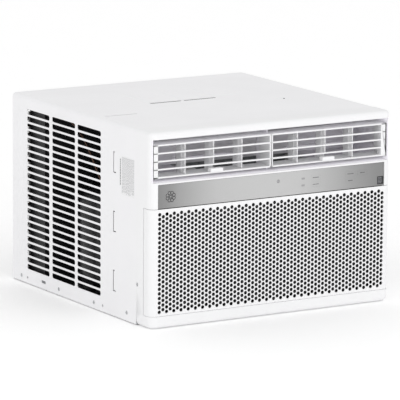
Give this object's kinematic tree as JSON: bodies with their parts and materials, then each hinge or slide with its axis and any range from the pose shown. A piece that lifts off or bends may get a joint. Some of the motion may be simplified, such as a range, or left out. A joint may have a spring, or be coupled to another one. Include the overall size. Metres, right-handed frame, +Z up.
{
  "type": "window air conditioner",
  "caption": "Boxy white window air conditioner with a perforated inlet grille, tilting louver banks, a silver control strip and slotted steel side walls.",
  "frame": {"origin": "centre of the footprint, on the surface that the base rests on", "axes": "+Z up, -Y towards the room (the front with louvers and controls), +X to the right as seen from the front"},
  "size_m": [0.546, 0.552, 0.381],
  "materials": {
    "white_plastic": "fine satin moulded white plastic",
    "white_steel": "white powder coat on sheet steel",
    "silver_plastic": "silver painted plastic",
    "grey_plastic": "moulded grey plastic",
    "dark_plastic": "near-black moulded plastic",
    "filter_mesh": "woven plastic screen in a moulded frame",
    "circuit_board": "green solder mask",
    "galvanised_steel": "spangled zinc on sheet steel",
    "bright_steel": "plated steel",
    "dark_paint": "black semi-gloss enamel",
    "aluminium": "thin rolled fins, bare metal",
    "copper": "drawn copper",
    "rubber": "moulded black rubber",
    "foam": "expanded polystyrene beads"
  },
  "bodies": {
    "chassis": {"front_bezel": "white_plastic", "grille_hinge_pin_left": "bright_steel", "grille_hinge_pin_right": "bright_steel", "outlet_duct": "grey_plastic", "control_fascia": "silver_plastic", "status_lens_upper": "dark_plastic", "status_lens_lower": "dark_plastic", "signal_window": "dark_plastic", "round_emblem": "dark_plastic", "rating_sticker": "dark_plastic", "control_board": "circuit_board", "cabinet_shell": "white_steel", "base_pan": "galvanised_steel", "rear_guard": "white_steel", "bezel_screw_left": "bright_steel", "bezel_screw_right": "bright_steel", "base_screw_left_1": "bright_steel", "base_screw_left_2": "bright_steel", "base_screw_left_3": "bright_steel", "base_screw_left_4": "bright_steel", "side_label": "white_steel", "cord_gland": "rubber", "evaporator_coil": "aluminium", "blower_scroll": "foam", "bulkhead": "galvanised_steel", "control_box": "galvanised_steel", "run_capacitor": "aluminium", "fan_motor": "dark_paint", "motor_bracket": "galvanised_steel", "condenser_shroud": "dark_plastic", "condenser_coil": "aluminium", "compressor": "dark_paint", "compressor_grommet_1": "rubber", "compressor_grommet_2": "rubber", "compressor_grommet_3": "rubber", "accumulator": "copper", "discharge_tube": "copper", "suction_tube": "copper", "capillary_tube": "copper"},
    "grille": {"front_grille": "white_plastic", "air_filter": "filter_mesh"},
    "bank_left": {"louver_bank_left": "white_plastic"},
    "bank_right": {"louver_bank_right": "white_plastic"},
    "fin_left_1": {"air_fin_left_1": "white_plastic"},
    "fin_left_2": {"air_fin_left_2": "white_plastic"},
    "fin_left_3": {"air_fin_left_3": "white_plastic"},
    "fin_right_1": {"air_fin_right_1": "white_plastic"},
    "fin_right_2": {"air_fin_right_2": "white_plastic"},
    "fin_right_3": {"air_fin_right_3": "white_plastic"},
    "link_left": {"fin_link_left": "grey_plastic"},
    "link_right": {"fin_link_right": "grey_plastic"},
    "rotor": {"motor_shaft": "bright_steel", "blower_wheel": "dark_plastic", "condenser_fan": "dark_plastic"},
    "power_key": {"key_power": "silver_plastic"},
    "mode_key": {"key_mode": "silver_plastic"},
    "fan_speed_key": {"key_fan_speed": "silver_plastic"},
    "temp_up_key": {"key_temp_up": "silver_plastic"},
    "temp_down_key": {"key_temp_down": "silver_plastic"}
  },
  "joints": [
    {"name": "grille_tilt", "type": "hinge", "parent": "chassis", "child": "grille", "pos_m": [0, -0.269, 0.0285], "axis": [1, 0, 0], "range_deg": [0, 38]},
    {"name": "bank_left_tilt", "type": "hinge", "parent": "chassis", "child": "bank_left", "pos_m": [0, -0.249, 0.3232], "axis": [1, 0, 0], "range_deg": [-20, 20]},
    {"name": "bank_right_tilt", "type": "hinge", "parent": "chassis", "child": "bank_right", "pos_m": [0, -0.249, 0.3232], "axis": [1, 0, 0], "range_deg": [-20, 20]},
    {"name": "fins_left_swing", "type": "hinge", "parent": "bank_left", "child": "fin_left_2", "pos_m": [-0.1265, -0.25, 0.3232], "axis": [0, 0, 1], "range_deg": [-30, 30]},
    {"name": "fin_left_1_swing", "type": "hinge", "parent": "bank_left", "child": "fin_left_1", "pos_m": [-0.063, -0.25, 0.3232], "axis": [0, 0, 1], "range_deg": [-30, 30]},
    {"name": "fin_left_3_swing", "type": "hinge", "parent": "bank_left", "child": "fin_left_3", "pos_m": [-0.19, -0.25, 0.3232], "axis": [0, 0, 1], "range_deg": [-30, 30]},
    {"name": "link_left_swing", "type": "hinge", "parent": "fin_left_2", "child": "link_left", "pos_m": [-0.1265, -0.225, 0.3175], "axis": [0, 0, 1], "range_deg": [-30, 30]},
    {"name": "fins_right_swing", "type": "hinge", "parent": "bank_right", "child": "fin_right_2", "pos_m": [0.1265, -0.25, 0.3232], "axis": [0, 0, 1], "range_deg": [-30, 30]},
    {"name": "fin_right_1_swing", "type": "hinge", "parent": "bank_right", "child": "fin_right_1", "pos_m": [0.063, -0.25, 0.3232], "axis": [0, 0, 1], "range_deg": [-30, 30]},
    {"name": "fin_right_3_swing", "type": "hinge", "parent": "bank_right", "child": "fin_right_3", "pos_m": [0.19, -0.25, 0.3232], "axis": [0, 0, 1], "range_deg": [-30, 30]},
    {"name": "link_right_swing", "type": "hinge", "parent": "fin_right_2", "child": "link_right", "pos_m": [0.1265, -0.225, 0.3175], "axis": [0, 0, 1], "range_deg": [-30, 30]},
    {"name": "fan_spin", "type": "hinge", "parent": "chassis", "child": "rotor", "pos_m": [0, 0, 0.165], "axis": [0, 1, 0], "continuous": true},
    {"name": "power_press", "type": "slide", "parent": "chassis", "child": "power_key", "axis": [0, 1, 0], "range_m": [0, 0.0008], "stiffness_N_per_m": 1200, "springref_m": -0.0002},
    {"name": "mode_press", "type": "slide", "parent": "chassis", "child": "mode_key", "axis": [0, 1, 0], "range_m": [0, 0.0008], "stiffness_N_per_m": 1200, "springref_m": -0.0002},
    {"name": "fan_speed_press", "type": "slide", "parent": "chassis", "child": "fan_speed_key", "axis": [0, 1, 0], "range_m": [0, 0.0008], "stiffness_N_per_m": 1200, "springref_m": -0.0002},
    {"name": "temp_up_press", "type": "slide", "parent": "chassis", "child": "temp_up_key", "axis": [0, 1, 0], "range_m": [0, 0.0008], "stiffness_N_per_m": 1200, "springref_m": -0.0002},
    {"name": "temp_down_press", "type": "slide", "parent": "chassis", "child": "temp_down_key", "axis": [0, 1, 0], "range_m": [0, 0.0008], "stiffness_N_per_m": 1200, "springref_m": -0.0002}
  ],
  "couplings": [
    {"joint": "fin_left_1_swing", "follows": "fins_left_swing", "ratio": 1},
    {"joint": "fin_left_3_swing", "follows": "fins_left_swing", "ratio": 1},
    {"joint": "link_left_swing", "follows": "fins_left_swing", "ratio": -1},
    {"joint": "fin_right_1_swing", "follows": "fins_right_swing", "ratio": 1},
    {"joint": "fin_right_3_swing", "follows": "fins_right_swing", "ratio": 1},
    {"joint": "link_right_swing", "follows": "fins_right_swing", "ratio": -1}
  ]
}
